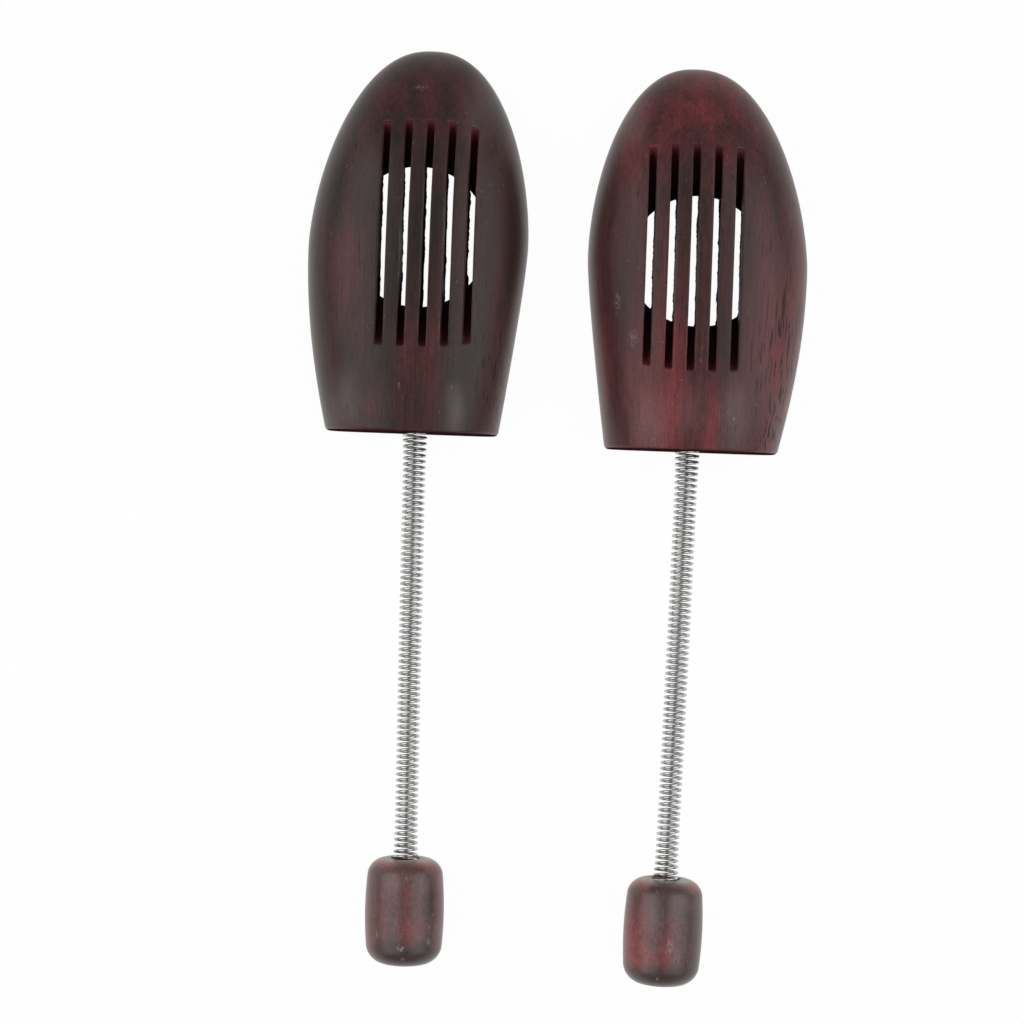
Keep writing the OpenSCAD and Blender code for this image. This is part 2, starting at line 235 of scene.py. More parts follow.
def block_shape(v):
    """Half width, middle, top, bottom and widest height of the block at v ahead of its rear face."""
    rear = np.maximum(0, (BALL_AT - v) / BALL_AT)
    toe = np.clip((v - BALL_AT) / (BLOCK_LEN - BALL_AT), 0, 1)
    corner = REAR_EDGE_R - np.sqrt(np.maximum(0, REAR_EDGE_R**2 - (REAR_EDGE_R - v)**2))
    inset = np.where(v >= REAR_EDGE_R, 0, corner)
    waist = (BALL_W - REAR_W) / 2 * rear**WAIST_POWER
    half = (BALL_W / 2 - waist) * (1 - toe**NOSE_POWER)**NOSE_ROOT - inset
    swing = TOE_SHIFT * BALL_AT / (math.pi * (BLOCK_LEN - BALL_AT))
    middle = np.where(v < BALL_AT, -swing * np.sin(math.pi * v / BALL_AT), TOE_SHIFT * toe)
    top_line = DOME_H - (DOME_H - REAR_H) * rear**2 - TOE_FALL * toe**2
    top = TIP_H + (top_line - TIP_H) * np.sqrt(1 - toe**TOP_NOSE_POWER) - inset
    lift = np.maximum(0, (toe - SOLE_LIFT_FROM) / (1 - SOLE_LIFT_FROM))**2
    sole = (TOE_LIFT + SOLE_SKIN) * lift - SOLE_SKIN
    bottom = TIP_H - (TIP_H - sole) * np.sqrt(1 - toe**SOLE_NOSE_POWER)
    widest = bottom + WIDEST_PART * (top - bottom)
    return half, middle, top, bottom, widest


def top_z(v):
    return float(block_shape(np.array([v]))[2][0])


def block_skin():
    """Closed skin of the block: rings from the rear face to the toe tip."""
    count = 160
    edge = REAR_EDGE_R * (1 - np.cos(np.linspace(0, math.pi / 2, 7)))
    side = np.linspace(REAR_EDGE_R, BALL_AT, 45)[1:]
    nose = BALL_AT + (BLOCK_LEN - BALL_AT) * np.sin(np.linspace(0, math.pi / 2, 60))[1:-1]
    v = np.concatenate([edge, side, nose])
    half, middle, top, bottom, widest = block_shape(v)
    a = np.linspace(0, 2 * math.pi, count, endpoint=False)
    upper = np.sin(a) >= 0
    power = np.where(upper, DOME_POWER, SOLE_POWER)
    cos_part = np.sign(np.cos(a)) * np.abs(np.cos(a))**(2 / power)
    sin_part = np.sign(np.sin(a)) * np.abs(np.sin(a))**(2 / power)
    x = middle[:, None] + half[:, None] * cos_part
    reach = np.where(upper, (top - widest)[:, None], (widest - bottom)[:, None])
    z = widest[:, None] + reach * sin_part
    y = np.repeat(v[:, None], count, 1)
    points = np.stack([x, y, z], 2).reshape(-1, 3)
    faces = ring_bands(len(v), count)
    tip = len(points)
    points = np.vstack([points, [[TOE_SHIFT, BLOCK_LEN, TIP_H], [0, 0, widest[0]]]])
    last = (len(v) - 1) * count
    faces += [(last + k, last + (k + 1) % count, tip) for k in range(count)]
    faces += [(tip + 1, (k + 1) % count, k) for k in range(count)]
    return points, faces


def lean_pocket(tree, points):
    """Points of the pocket's own frame, whose z runs from the ceiling's middle down through the mouth."""
    return turned(turned(np.array(points, float), "x", 180 - tree.pocket_lean), "y", POCKET_SIDE_LEAN)


def pocket_tool(tree):
    """Cutter of the pocket: a bored cylinder with a chamfered mouth."""
    mouth, run_out = POCKET_DEPTH / cosd(tree.pocket_lean), 4.0
    r, c, floor_c = POCKET_R, POCKET_CHAMFER, POCKET_FLOOR_CHAMFER
    profile = [(0, 0), (r - floor_c, 0), (r, floor_c), (r, mouth - c),
               (r + c + run_out, mouth + run_out), (0, mouth + run_out)]
    points, faces = lathe(profile, 160)
    return lean_pocket(tree, points) + np.array([0, tree.pocket_at, POCKET_DEPTH]), faces


def arbor(tree):
    """Place of the saws' arbor, from which their edges meet the top line at both ends of the slots."""
    start, end = top_z(tree.slot_from), top_z(tree.slot_from + SLOT_LEN)
    chord = math.hypot(SLOT_LEN, start - end)
    rise = math.sqrt(SAW_R**2 - (chord / 2)**2)
    middle, height = tree.slot_from + SLOT_LEN / 2, (start + end) / 2
    return middle + rise * (start - end) / chord, height + rise * SLOT_LEN / chord


def slot_x(tree, k):
    return tree.slot_shift + (k - (SLOT_COUNT - 1) / 2) * SLOT_PITCH


def slot_tools(tree):
    """Cutters of the slots: a gang of round saws on one arbor above the dome."""
    at, height = arbor(tree)
    top = top_z(at)
    disc, disc_faces = lathe([(0, 0), (SAW_R, 0), (SAW_R, SLOT_W), (0, SLOT_W)], 256)
    points, faces = [], []
    for k in range(SLOT_COUNT):
        p = turned(disc, "y", 90) + np.array([-SLOT_W / 2, 0, height - top])
        p = turned(p, "y", -tree.slot_lean) + np.array([slot_x(tree, k), at, top])
        faces += [tuple(i + len(disc) * k for i in f) for f in disc_faces]
        points.append(p)
    return np.vstack(points), faces


def bore_tool(tree):
    """Cutter of the block's spring bore: a drilled hole with a chamfered mouth."""
    r, run_out = END_OD / 2 + BORE_ROOM, 2.0
    depth = tree.held + WIRE_D + BORE_SPARE
    profile = [(0, -depth - BORE_POINT), (r, -depth), (r, -BORE_CHAMFER),
               (r + BORE_CHAMFER + run_out, run_out), (0, run_out)]
    points, faces = lathe(profile, 64)
    return turned(turned(points, "x", 90 - BORE_RISE), "z", BORE_YAW) + np.array([BORE_X, 0, BORE_Z]), faces


def sole_tool():
    """Cutter that planes the sole flat: a box below the floor."""
    x, low, spare = BALL_W, -6.0, 5.0
    corners = ((-x, -spare), (x, -spare), (x, BLOCK_LEN + spare), (-x, BLOCK_LEN + spare))
    points = [(*corner, z) for z in (low, 0) for corner in corners]
    faces = [(3, 2, 1, 0), (4, 5, 6, 7), (0, 1, 5, 4), (1, 2, 6, 5), (2, 3, 7, 6), (3, 0, 4, 7)]
    return np.array(points, float), faces


def cut_block(tree):
    """The block's mesh in the tree's own frame, in millimetres, with its edges lightly broken."""
    block = make_object("block_work", *block_skin())
    cutters = (sole_tool(), pocket_tool(tree), slot_tools(tree), bore_tool(tree))
    tools = [make_object("tool", *cutter) for cutter in cutters]
    for tool in tools:
        cut = block.modifiers.new("cut", "BOOLEAN")
        cut.operation, cut.solver, cut.object = "DIFFERENCE", "EXACT", tool
    remesh = block.modifiers.new("remesh", "REMESH")
    remesh.mode, remesh.voxel_size = "VOXEL", 0.28
    soften = block.modifiers.new("soften", "SMOOTH")
    soften.factor, soften.iterations = 0.5, 1
    thin = block.modifiers.new("thin", "DECIMATE")
    thin.ratio = 0.3
    bpy.context.view_layer.update()
    out = evaluated(block, tree.name + "_block_piece")
    for o in [block] + tools:
        bpy.data.objects.remove(o)
    return out


def fray(tree, p):
    """Torn fibres on the slots' walls, where they break through the pocket's ceiling."""
    rng = np.random.default_rng(11 + tree.side)
    top = top_z(arbor(tree)[0])
    down = lean_pocket(tree, [(0, 0, 1)])[0]
    ceiling = POCKET_DEPTH - (down[0] * p[:, 0] + down[1] * (p[:, 1] - tree.pocket_at)) / down[2]
    near = np.clip(1 - np.abs(p[:, 2] - ceiling) / TEAR_REACH, 0, 1)
    inside = np.hypot(p[:, 0], p[:, 1] - tree.pocket_at) < POCKET_R + 0.3
    for k in range(SLOT_COUNT):
        across = p[:, 0] - slot_x(tree, k) - (top - p[:, 2]) * tand(tree.slot_lean)
        worst = tree.side == LEFT and k == SLOT_COUNT - 1
        for wall in (-1, 1):
            beside = inside & (np.abs(across - wall * SLOT_W / 2) < 0.45)
            tear = np.zeros(len(p))
            for step, part in TEAR_WAVES:
                at = np.arange(0, BLOCK_LEN, step)
                tear += part * np.interp(p[:, 1], at, rng.random(len(at)))
            depth = (WORST_TEAR if worst and wall < 0 else TEAR_DEPTH) * np.clip(tear - 0.42, 0, 0.5) / 0.5
            p[:, 0] -= np.where(beside, wall * near * depth, 0)


def below_skin(p):
    """0 on the block's outer skin and sole, 1 on the walls of its slots, pocket and bore."""
    half, middle, top, bottom, widest = block_shape(np.clip(p[:, 1], 0, BLOCK_LEN - 0.01))
    above = p[:, 2] >= widest
    reach = np.where(above, top - widest, widest - bottom)
    power = np.where(above, DOME_POWER, SOLE_POWER)
    across = np.abs((p[:, 0] - middle) / np.maximum(half, 0.5))
    height = np.abs((p[:, 2] - widest) / np.maximum(reach, 0.5))
    radius = (across**power + height**power)**(1 / power)
    depth = (1 - radius) * np.minimum(half, reach)
    depth = np.minimum(depth, np.maximum(p[:, 1], 0) * 2)
    depth = np.minimum(depth, np.maximum(p[:, 2], 0) * 2)
    return np.clip((depth - 0.3) / 0.6, 0, 1)


def forefoot_block(tree):
    obj = cut_block(tree)
    p = coordinates(obj)
    raw = obj.data.attributes.new("raw", "FLOAT", "POINT")
    raw.data.foreach_set("value", np.maximum(below_skin(p), p[:, 1] < 0.4).astype(np.float32))
    fray(tree, p)
    row = tree.to_row(tree.mirrored(p))
    obj.data.vertices.foreach_set("co", row.astype(np.float32).ravel())
    if tree.side == RIGHT:
        obj.data.flip_normals()
    obj.data.polygons.foreach_set("use_smooth", [True] * len(obj.data.polygons))
    obj.data.update()
    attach(obj, tree.name + "_block_body")
    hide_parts(tree.name + "_forefoot_block")
    return obj


# Heel knob

def knob_half(edge_r, crown_r):
    """(radius, z) outline of half a barrel: its side, edge and crown are arcs that run smoothly on."""
    def edge_middle(a):
        reach = KNOB_SIDE_R - edge_r
        return np.array([KNOB_R - KNOB_SIDE_R + reach * cosd(a), reach * sind(a)])

    crown_middle = np.array([0, KNOB_LEN / 2 - crown_r])
    low, high = 0.0, 45.0
    for _ in range(40):
        start = (low + high) / 2
        too_far = np.linalg.norm(edge_middle(start) - crown_middle) > crown_r - edge_r
        low, high = (low, start) if too_far else (start, high)
    middle = edge_middle(start)
    inward = middle - crown_middle
    end = math.degrees(math.atan2(inward[1], inward[0]))
    arcs = ((np.array([KNOB_R - KNOB_SIDE_R, 0]), KNOB_SIDE_R, 0, start, 12),
            (middle, edge_r, start, end, 16), (crown_middle, crown_r, end, 90, 12))
    half = [(KNOB_R, 0.0)]
    for centre, r, first, last, steps in arcs:
        angles = np.linspace(first, last, steps + 1)[1:]
        half += [(centre[0] + r * cosd(a), centre[1] + r * sind(a)) for a in angles]
    return half


def knob_profile(tree):
    """(radius, z) outline of the knob, from its heel end round to the floor of its spring bore."""
    heel, front = knob_half(HEEL_EDGE_R, HEEL_CROWN_R), knob_half(SPRING_EDGE_R, SPRING_CROWN_R)
    r, top = END_OD / 2 + BORE_ROOM, KNOB_LEN / 2
    lip = r + BORE_CHAMFER
    depth = tree.held + WIRE_D + BORE_SPARE
    lip_z = top - SPRING_CROWN_R + math.sqrt(SPRING_CROWN_R**2 - lip**2)
    bore = [(lip, lip_z), (lip - 0.25, top - 0.42), (r + 0.1, top - BORE_CHAMFER - 0.15),
            (r, top - BORE_CHAMFER - 0.4), (r, top - depth), (0, top - depth - BORE_POINT)]
    return [(x, -z) for x, z in heel[::-1]] + [(x, z) for x, z in front[1:] if x > lip + 0.3] + bore


def heel_knob(tree):
    points, faces = lathe(knob_profile(tree), 128)
    radius = np.hypot(points[:, 0], points[:, 1])
    raw = (radius < END_OD / 2 + BORE_ROOM + BORE_CHAMFER - 0.1) & (points[:, 2] > 0)
    points = turned(turned(points, "x", tree.fall - 90), "z", BORE_YAW)
    points += tree.line_point(tree.show + KNOB_LEN / 2)
    obj = make_object(tree.name + "_knob_piece", tree.to_row(tree.mirrored(points)), faces)
    obj.data.attributes.new("raw", "FLOAT", "POINT").data.foreach_set("value", raw.astype(np.float32))
    if tree.side == RIGHT:
        obj.data.flip_normals()
    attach(obj, tree.name + "_knob_body")
    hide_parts(tree.name + "_heel_knob")
    return obj


# Spring

RINGS_PER_TURN, WIRE_SIDES = 22, 12
SPLIT_AT = 66.0
BEND_FROM = 2.0


def from_wood(tree, s):
    return max(0.0, min(s, tree.show - s))


def wire_points(tree, s):
    """Middle of the wire at each s along the spring's middle line, and the outward direction there.

    The turns stand upright at the block, and their tops lean towards it a little down to the knob.
    """
    middle_r, end_r = (COIL_OD - WIRE_SEEN) / 2, (END_OD - WIRE_SEEN) / 2
    flare = np.array([max(0.0, 1 - from_wood(tree, t) / FLARE_LEN)**2 for t in s])
    r = middle_r + (end_r - middle_r) * flare
    line = np.array([tree.line_point(t) for t in s]) * np.array([tree.side, 1, 1])
    lean = np.radians([TURN_LEAN * (1 - tree.left_over(t)) for t in s])
    winding = -2 * math.pi * TURNS * np.asarray(s) / SPRING_LEN
    sy, cy = sind(BORE_YAW), cosd(BORE_YAW)
    across = np.array([cy, tree.side * sy, 0])
    up = np.stack([-tree.side * sy * np.sin(lean), cy * np.sin(lean), np.cos(lean)], 1)
    out = np.sin(winding)[:, None] * across + np.cos(winding)[:, None] * up
    return line + r[:, None] * out, out


def wire_piece(tree, name, start, end, tails=(False, False)):
    """A length of the wound wire, from start to end along the middle line."""
    rings = max(8, round((end - start) * TURNS / SPRING_LEN * RINGS_PER_TURN))
    s = np.linspace(start, end, rings + 1)
    step = SPRING_LEN / TURNS / 400
    points, out = wire_points(tree, s)
    way = wire_points(tree, s + step)[0] - wire_points(tree, s - step)[0]
    way /= np.linalg.norm(way, axis=1)[:, None]
    if tails[0]:
        points = np.vstack([points[:1] - WIRE_D * way[:1], points])
        out, way = np.vstack([out[:1], out]), np.vstack([way[:1], way])
    if tails[1]:
        points = np.vstack([points, points[-1:] + WIRE_D * way[-1:]])
        out, way = np.vstack([out, out[-1:]]), np.vstack([way, way[-1:]])
    side = np.cross(out, way)
    a = np.linspace(0, 2 * math.pi, WIRE_SIDES, endpoint=False)[None, :, None]
    tube = points[:, None] + WIRE_SEEN / 2 * (np.cos(a) * out[:, None] + np.sin(a) * side[:, None])
    count = len(points)
    faces = ring_bands(count, WIRE_SIDES)
    faces.append(tuple(range(WIRE_SIDES))[::-1])
    faces.append(tuple((count - 1) * WIRE_SIDES + k for k in range(WIRE_SIDES)))
    return make_object(name, tree.to_row(tube.reshape(-1, 3)), faces)


def spring(tree):
    """The spring in three lengths: a front one, a rear one on the spring's own body, and one that stays in
    the knob.
    """
    def row_point(s):
        return Vector(tree.to_row(tree.mirrored(tree.line_point(s)))[0])

    name = tree.name + "_spring"
    front = wire_piece(tree, name + "_front", -tree.held, SPLIT_AT, (True, False))
    rear = wire_piece(tree, name + "_rear", SPLIT_AT, tree.show)
    end = wire_piece(tree, name + "_end", tree.show, tree.show + tree.held, (False, True))
    split, face = row_point(SPLIT_AT), row_point(tree.show)
    row_point(BEND_FROM)
    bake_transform(front)
    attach(rear, tree.name + "_spring_body")
    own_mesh(rear)
    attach(end, tree.name + "_knob_body")
    for piece in (front, rear, end):
        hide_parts(name)
    return front, rear, end


# Materials

# Wood colours beside the stain: painted grey sheen, painted shade, open pores and scuffs
PAINTED_SHEEN, PAINTED_SHADE = (0.19, 0.16, 0.155), (0.012, 0.004, 0.004)
PORE, SCUFF = (0.008, 0.004, 0.004), (0.42, 0.33, 0.32)


def add_node(nodes, kind, inputs=None, **props):
    """A node with its properties set, and its inputs set or linked by name or number."""
    n = nodes.new(kind)
    for key, value in props.items():
        setattr(n, key, value)
    for key, value in (inputs or {}).items():
        if isinstance(value, bpy.types.NodeSocket):
            nodes.id_data.links.new(value, n.inputs[key])
        else:
            n.inputs[key].default_value = value
    return n


def new_material(name):
    mat = bpy.data.materials.new(name)
    mat.use_nodes = True
    mat.node_tree.nodes.clear()
    return mat, mat.node_tree.nodes


def ramp(nodes, value, stops):
    n = add_node(nodes, "ShaderNodeValToRGB", {"Fac": value})
    e = n.color_ramp.elements
    while len(e) < len(stops):
        e.new(0.5)
    for element, (at, color) in zip(e, stops):
        element.position = at
        element.color = (*color, 1)
    return n.outputs["Color"]


def noise(nodes, mm, size, detail=2.0, shift=(0, 0, 0), roughness=0.5):
    """Noise whose features are about size (x, y, z) millimetres."""
    scale = tuple(1 / s for s in size)
    place = add_node(nodes, "ShaderNodeMapping", {"Vector": mm, "Location": shift, "Scale": scale})
    return add_node(nodes, "ShaderNodeTexNoise", {
        "Vector": place.outputs[0], "Scale": 1.0, "Detail": detail, "Roughness": roughness}).outputs["Fac"]


def mix_color(nodes, fac, a, b, blend="MIX"):
    n = add_node(nodes, "ShaderNodeMix", data_type="RGBA", blend_type=blend)
    links = nodes.id_data.links
    for socket, value in ((n.inputs[0], fac), (n.inputs[6], a), (n.inputs[7], b)):
        if isinstance(value, bpy.types.NodeSocket):
            links.new(value, socket)
        else:
            socket.default_value = (*value, 1) if isinstance(value, tuple) else value
    return n.outputs[2]


def calc(nodes, operation, a, b=0.0, clamp=False):
    return add_node(nodes, "ShaderNodeMath", {0: a, 1: b}, operation=operation, use_clamp=clamp).outputs[0]


def ease(nodes, value, low, high):
    """0 at low and 1 at high, with soft ends."""
    return add_node(nodes, "ShaderNodeMapRange", {"Value": value, "From Min": low, "From Max": high},
                    interpolation_type="SMOOTHSTEP").outputs[0]


def tree_millimetres(nodes, tree, at=(0, 0)):
    """Millimetres across and along the tree from a place behind or before the middle of its rear face."""
    x0, y0 = tree.origin()
    c, s = cosd(TREE_TURN), sind(TREE_TURN)
    coords = add_node(nodes, "ShaderNodeTexCoord").outputs["Object"]
    return add_node(nodes, "ShaderNodeMapping", {
        "Vector": coords, "Rotation": (0, 0, math.radians(TREE_TURN)), "Scale": (1000, 1000, 1000),
        "Location": (-(x0 * c - y0 * s) - at[0], -(x0 * s + y0 * c) - at[1], 0)}).outputs[0]


def warped(nodes, mm, size, amount, shift):
    """Millimetres pushed about, so that shapes laid out on them lose their regular outline."""
    place = add_node(nodes, "ShaderNodeMapping", {"Vector": mm, "Location": shift, "Scale": (1 / size,) * 3})
    clouds = add_node(nodes, "ShaderNodeTexNoise", {"Vector": place.outputs[0], "Scale": 1.0, "Detail": 3.0})
    push = {0: clouds.outputs["Color"], 1: (0.5, 0.5, 0.5)}
    push = add_node(nodes, "ShaderNodeVectorMath", push, operation="SUBTRACT").outputs[0]
    moved = {0: push, 1: (amount,) * 3, 2: mm}
    return add_node(nodes, "ShaderNodeVectorMath", moved, operation="MULTIPLY_ADD").outputs[0]


def spots(nodes, mm, places):
    """Sum of oval spots (x, y, x reach, y reach, strength), each fading out to its rim."""
    total = 0.0
    for x, y, rx, ry, strength in places:
        place = add_node(nodes, "ShaderNodeMapping", {
            "Vector": mm, "Location": (-x / rx, -y / ry, 0), "Scale": (1 / rx, 1 / ry, 0)}).outputs[0]
        far = add_node(nodes, "ShaderNodeVectorMath", {0: place}, operation="LENGTH").outputs["Value"]
        total = calc(nodes, "ADD", calc(nodes, "MULTIPLY", ease(nodes, far, 1.0, 0.0), strength), total)
    return total


def stained(nodes, mm, colors, shift, stains):
    """Cloudy colour of the stain, from deep to bright, with redder and deeper places, and on the knobs paler
    spots beside the spring that are worn stain and a painted highlight.
    """
    cloud = noise(nodes, mm, (18, 46, 18), 3, shift)
    band = noise(nodes, mm, (5, 120, 5), 2, shift)
    tone = calc(nodes, "ADD", calc(nodes, "MULTIPLY", cloud, 0.6), calc(nodes, "MULTIPLY", band, 0.4))
    tone = calc(nodes, "ADD", tone, spots(nodes, warped(nodes, mm, 14, 9, shift), stains))
    return ramp(nodes, tone, [(0.36, colors[0]), (0.52, colors[1]), (0.74, colors[2])])


def grain_figure(nodes, mm, shift, figure_len):
    """Fine streaks along the grain, broken up by mottles."""
    streaks = noise(nodes, mm, (0.8, figure_len, 0.8), 4, shift, 0.65)
    mottles = noise(nodes, mm, (1.5, 2.6, 1.5), 4, shift, 0.8)
    return calc(nodes, "ADD", calc(nodes, "MULTIPLY", streaks, 0.55), calc(nodes, "MULTIPLY", mottles, 0.45))


def hazed(nodes, mm, color, shift, haze):
    """The colour under a painted grey sheen where the spots are above 0, and under painted shade where they
    are below.
    """
    tint = spots(nodes, warped(nodes, mm, 10, 5, shift), haze)
    color = mix_color(nodes, calc(nodes, "MULTIPLY", tint, 0.6, True), color, PAINTED_SHEEN)
    return mix_color(nodes, calc(nodes, "MULTIPLY", tint, -0.7, True), color, PAINTED_SHADE)


def pored(nodes, mm, color, open_color, shift, pore_side):
    """The colour with the pores that the saw opened down one side of the block, and the pores."""
    axes = add_node(nodes, "ShaderNodeSeparateXYZ", {0: mm}).outputs
    across, along = ease(nodes, axes["X"], *pore_side[:2]), ease(nodes, axes["Y"], *pore_side[2:])
    area = calc(nodes, "MULTIPLY", across, along)
    color = mix_color(nodes, calc(nodes, "MULTIPLY", area, 0.4), color, open_color)
    dashes = noise(nodes, mm, (0.7, 12.0, 0.7), 2, shift)
    pore = ease(nodes, calc(nodes, "ADD", dashes, calc(nodes, "MULTIPLY", area, 0.15)), 0.66, 0.73)
    return mix_color(nodes, calc(nodes, "MULTIPLY", pore, 0.85), color, PORE), pore


def scuffed(nodes, mm, color, shift, marks):
    """The colour with pale specks all over and scratched marks in places; on the knobs the marks beside the
    spring are worn stain and a painted highlight.
    """
    clouds = calc(nodes, "MULTIPLY", noise(nodes, mm, (9, 9, 9), 1, shift), 0.3)
    dust = calc(nodes, "ADD", noise(nodes, mm, (0.8, 1.9, 0.8), 2, shift, 0.7), clouds)
    speck = calc(nodes, "MULTIPLY", ease(nodes, dust, 0.84, 0.98), 0.35)
    scratch = ease(nodes, noise(nodes, mm, (0.5, 1.4, 0.5), 2, shift), 0.42, 0.62)
    mark = calc(nodes, "MULTIPLY", spots(nodes, warped(nodes, mm, 2, 1.2, shift), marks), scratch)
    return mix_color(nodes, calc(nodes, "MAXIMUM", speck, mark, True), color, SCUFF)


def wood(name, tree, colors, shift, figure_len, stains, haze, marks, raw_and_shade_stops, gloss, rim,
         end_grain=None, pore_side=None, at=(0, 0)):
    """Stained wood: satin outside, and matte where the saws and drills left it raw."""
    mat, nodes = new_material(name)
    mm = tree_millimetres(nodes, tree, at)
    rough_from, shine = gloss
    axes = add_node(nodes, "ShaderNodeSeparateXYZ", {0: mm}).outputs
    figure = grain_figure(nodes, mm, shift, figure_len)
    streak = ramp(nodes, figure, [(0.36, (0.45, 0.45, 0.45)), (0.64, (1.0, 1.0, 1.0))])
    color = mix_color(nodes, 1.0, stained(nodes, mm, colors, shift, stains), streak, "MULTIPLY")
    # Painted grey sheen where the sheen and shade spots are above 0, and painted shade where they are below
    color, pore = hazed(nodes, mm, color, shift, haze), 0.0
    if pore_side:
        color, pore = pored(nodes, mm, color, tuple(2.8 * c for c in colors[1]), shift, pore_side)
    color = scuffed(nodes, mm, color, shift, marks)
    raw = add_node(nodes, "ShaderNodeAttribute", attribute_name="raw").outputs["Fac"]
    # Raw wood colour by height; on the blocks it paints shade that deepens lower down in the cuts
    raw_and_shade_color = ramp(nodes, calc(nodes, "MULTIPLY", axes["Z"], 1 / DOME_H), raw_and_shade_stops)
    if end_grain:
        raw_and_shade_color = mix_color(nodes, ease(nodes, axes["Y"], 1.6, 0.8), raw_and_shade_color, end_grain)
    color = mix_color(nodes, raw, color, raw_and_shade_color)
    rough = calc(nodes, "ADD", calc(nodes, "MULTIPLY", figure, 0.14), rough_from)
    height = calc(nodes, "SUBTRACT", calc(nodes, "MULTIPLY", figure, 0.3), pore)
    bump = add_node(nodes, "ShaderNodeBump", {"Strength": 0.35, "Distance": 0.00006, "Height": height})
    satin = add_node(nodes, "ShaderNodeBsdfPrincipled", {
        "Base Color": color, "Roughness": rough, "Normal": bump.outputs[0], "Specular IOR Level": shine,
        "Sheen Weight": rim, "Sheen Roughness": 0.35, "Sheen Tint": (0.95, 1.0, 0.88, 1)})
    matte = add_node(nodes, "ShaderNodeBsdfDiffuse", {"Color": color})
    surface = add_node(nodes, "ShaderNodeMixShader", {0: raw, 1: satin.outputs[0], 2: matte.outputs[0]})
    add_node(nodes, "ShaderNodeOutputMaterial", {"Surface": surface.outputs[0]})
    return mat


def steel():
    mat, nodes = new_material("bright_wire")
    coords = add_node(nodes, "ShaderNodeTexCoord").outputs["Object"]
    mm = add_node(nodes, "ShaderNodeMapping", {"Vector": coords, "Scale": (1000, 1000, 1000)}).outputs[0]
    tint = noise(nodes, mm, (3, 3, 3), 2)
    color = ramp(nodes, tint, [(0.35, (0.43, 0.43, 0.425)), (0.65, (0.56, 0.56, 0.55))])
    bsdf = add_node(nodes, "ShaderNodeBsdfPrincipled", {
        "Base Color": color, "Metallic": 1.0,
        "Roughness": calc(nodes, "ADD", calc(nodes, "MULTIPLY", tint, 0.12), 0.19)})
    add_node(nodes, "ShaderNodeOutputMaterial", {"Surface": bsdf.outputs[0]})
    return mat


def paint(obj, mat):
    obj.data.materials.clear()
    obj.data.materials.append(mat)


# Stage

BOX_LONG, BOX_HIGH, BOX_WATTS = 1.6, 1.05, 8.3
BOX_ASIDE, BOX_BACK, BOX_UP = 0.74, -0.05, 0.76

# Camera in millimetres: its height, the height that the picture's width is measured at, that
# width, and how far the middle of the picture stands from the middle between the trees
CAMERA_Z, FOCUS_Z, VIEW_W, VIEW_X, VIEW_Y = 1100.0, 12.6, 319.2, -12.2, -21.6


def seen_white(nodes, shadow_part, diffuse):
    """White to the camera and in reflections, apart from the part that keeps the shadows."""
    path = add_node(nodes, "ShaderNodeLightPath").outputs
    mirror = calc(nodes, "MAXIMUM", path["Is Glossy Ray"], path["Is Transmission Ray"])
    seen = calc(nodes, "MAXIMUM", path["Is Camera Ray"], mirror)
    white = add_node(nodes, "ShaderNodeEmission", {"Color": (1, 1, 1, 1), "Strength": 1.0}).outputs[0]
    fac = calc(nodes, "MULTIPLY", seen, 1 - shadow_part)
    return add_node(nodes, "ShaderNodeMixShader", {0: fac, 1: diffuse, 2: white}).outputs[0]


def make_floor():
    size, z = 4.0, -0.00005
    corners = [(-size, -size, z), (size, -size, z), (size, size, z), (-size, size, z)]
    floor = make_object("floor", corners, [(0, 1, 2, 3)])
    mat, nodes = new_material("pale_floor")
    diffuse = add_node(nodes, "ShaderNodeBsdfDiffuse", {"Color": (0.9, 0.9, 0.9, 1)}).outputs[0]
    add_node(nodes, "ShaderNodeOutputMaterial", {"Surface": seen_white(nodes, 0.03, diffuse)})
    paint(floor, mat)


def soft_box(name, place):
    """A lamp that faces the middle of the floor, with its longer side level."""
    data = bpy.data.lights.new(name, "AREA")
    data.shape, data.size, data.size_y, data.energy = "RECTANGLE", BOX_LONG, BOX_HIGH, BOX_WATTS
    obj = bpy.data.objects.new(name, data)
    bpy.context.scene.collection.objects.link(obj)
    obj.location = place
    obj.rotation_mode = "QUATERNION"
    obj.rotation_quaternion = (-Vector(place)).to_track_quat("-Z", "Y")


def make_world():
    """A dim studio round the soft boxes, darkest low down and straight above."""
    world = bpy.data.worlds.new("studio")
    bpy.context.scene.world = world
    world.use_nodes = True
    nodes = world.node_tree.nodes
    nodes.clear()
    way = add_node(nodes, "ShaderNodeTexCoord").outputs["Generated"]
    up = add_node(nodes, "ShaderNodeSeparateXYZ", {0: way}).outputs["Z"]
    greys = ((0.0, 0.1), (0.3, 0.22), (0.75, 0.3), (0.94, 0.3), (0.98, 0.06))
    shade = ramp(nodes, up, [(height, (grey,) * 3) for height, grey in greys])
    path = add_node(nodes, "ShaderNodeLightPath").outputs
    color = mix_color(nodes, path["Is Camera Ray"], shade, (1.0, 1.0, 1.0))
    background = add_node(nodes, "ShaderNodeBackground", {"Color": color, "Strength": 1.0})
    add_node(nodes, "ShaderNodeOutputWorld", {"Surface": background.outputs[0]})


def make_camera():
    """Straight above the middle of the picture, with the toes up."""
    data = bpy.data.cameras.new("camera")
    data.sensor_width = 36.0
    data.lens = data.sensor_width * (CAMERA_Z - FOCUS_Z) / VIEW_W
    data.clip_start, data.clip_end = 0.01, 20
    camera = bpy.data.objects.new("camera", data)
    bpy.context.scene.collection.objects.link(camera)
    camera.location = ((PAIR_X + VIEW_X) * MM, (PAIR_Y + VIEW_Y) * MM, CAMERA_Z * MM)
    bpy.context.scene.camera = camera
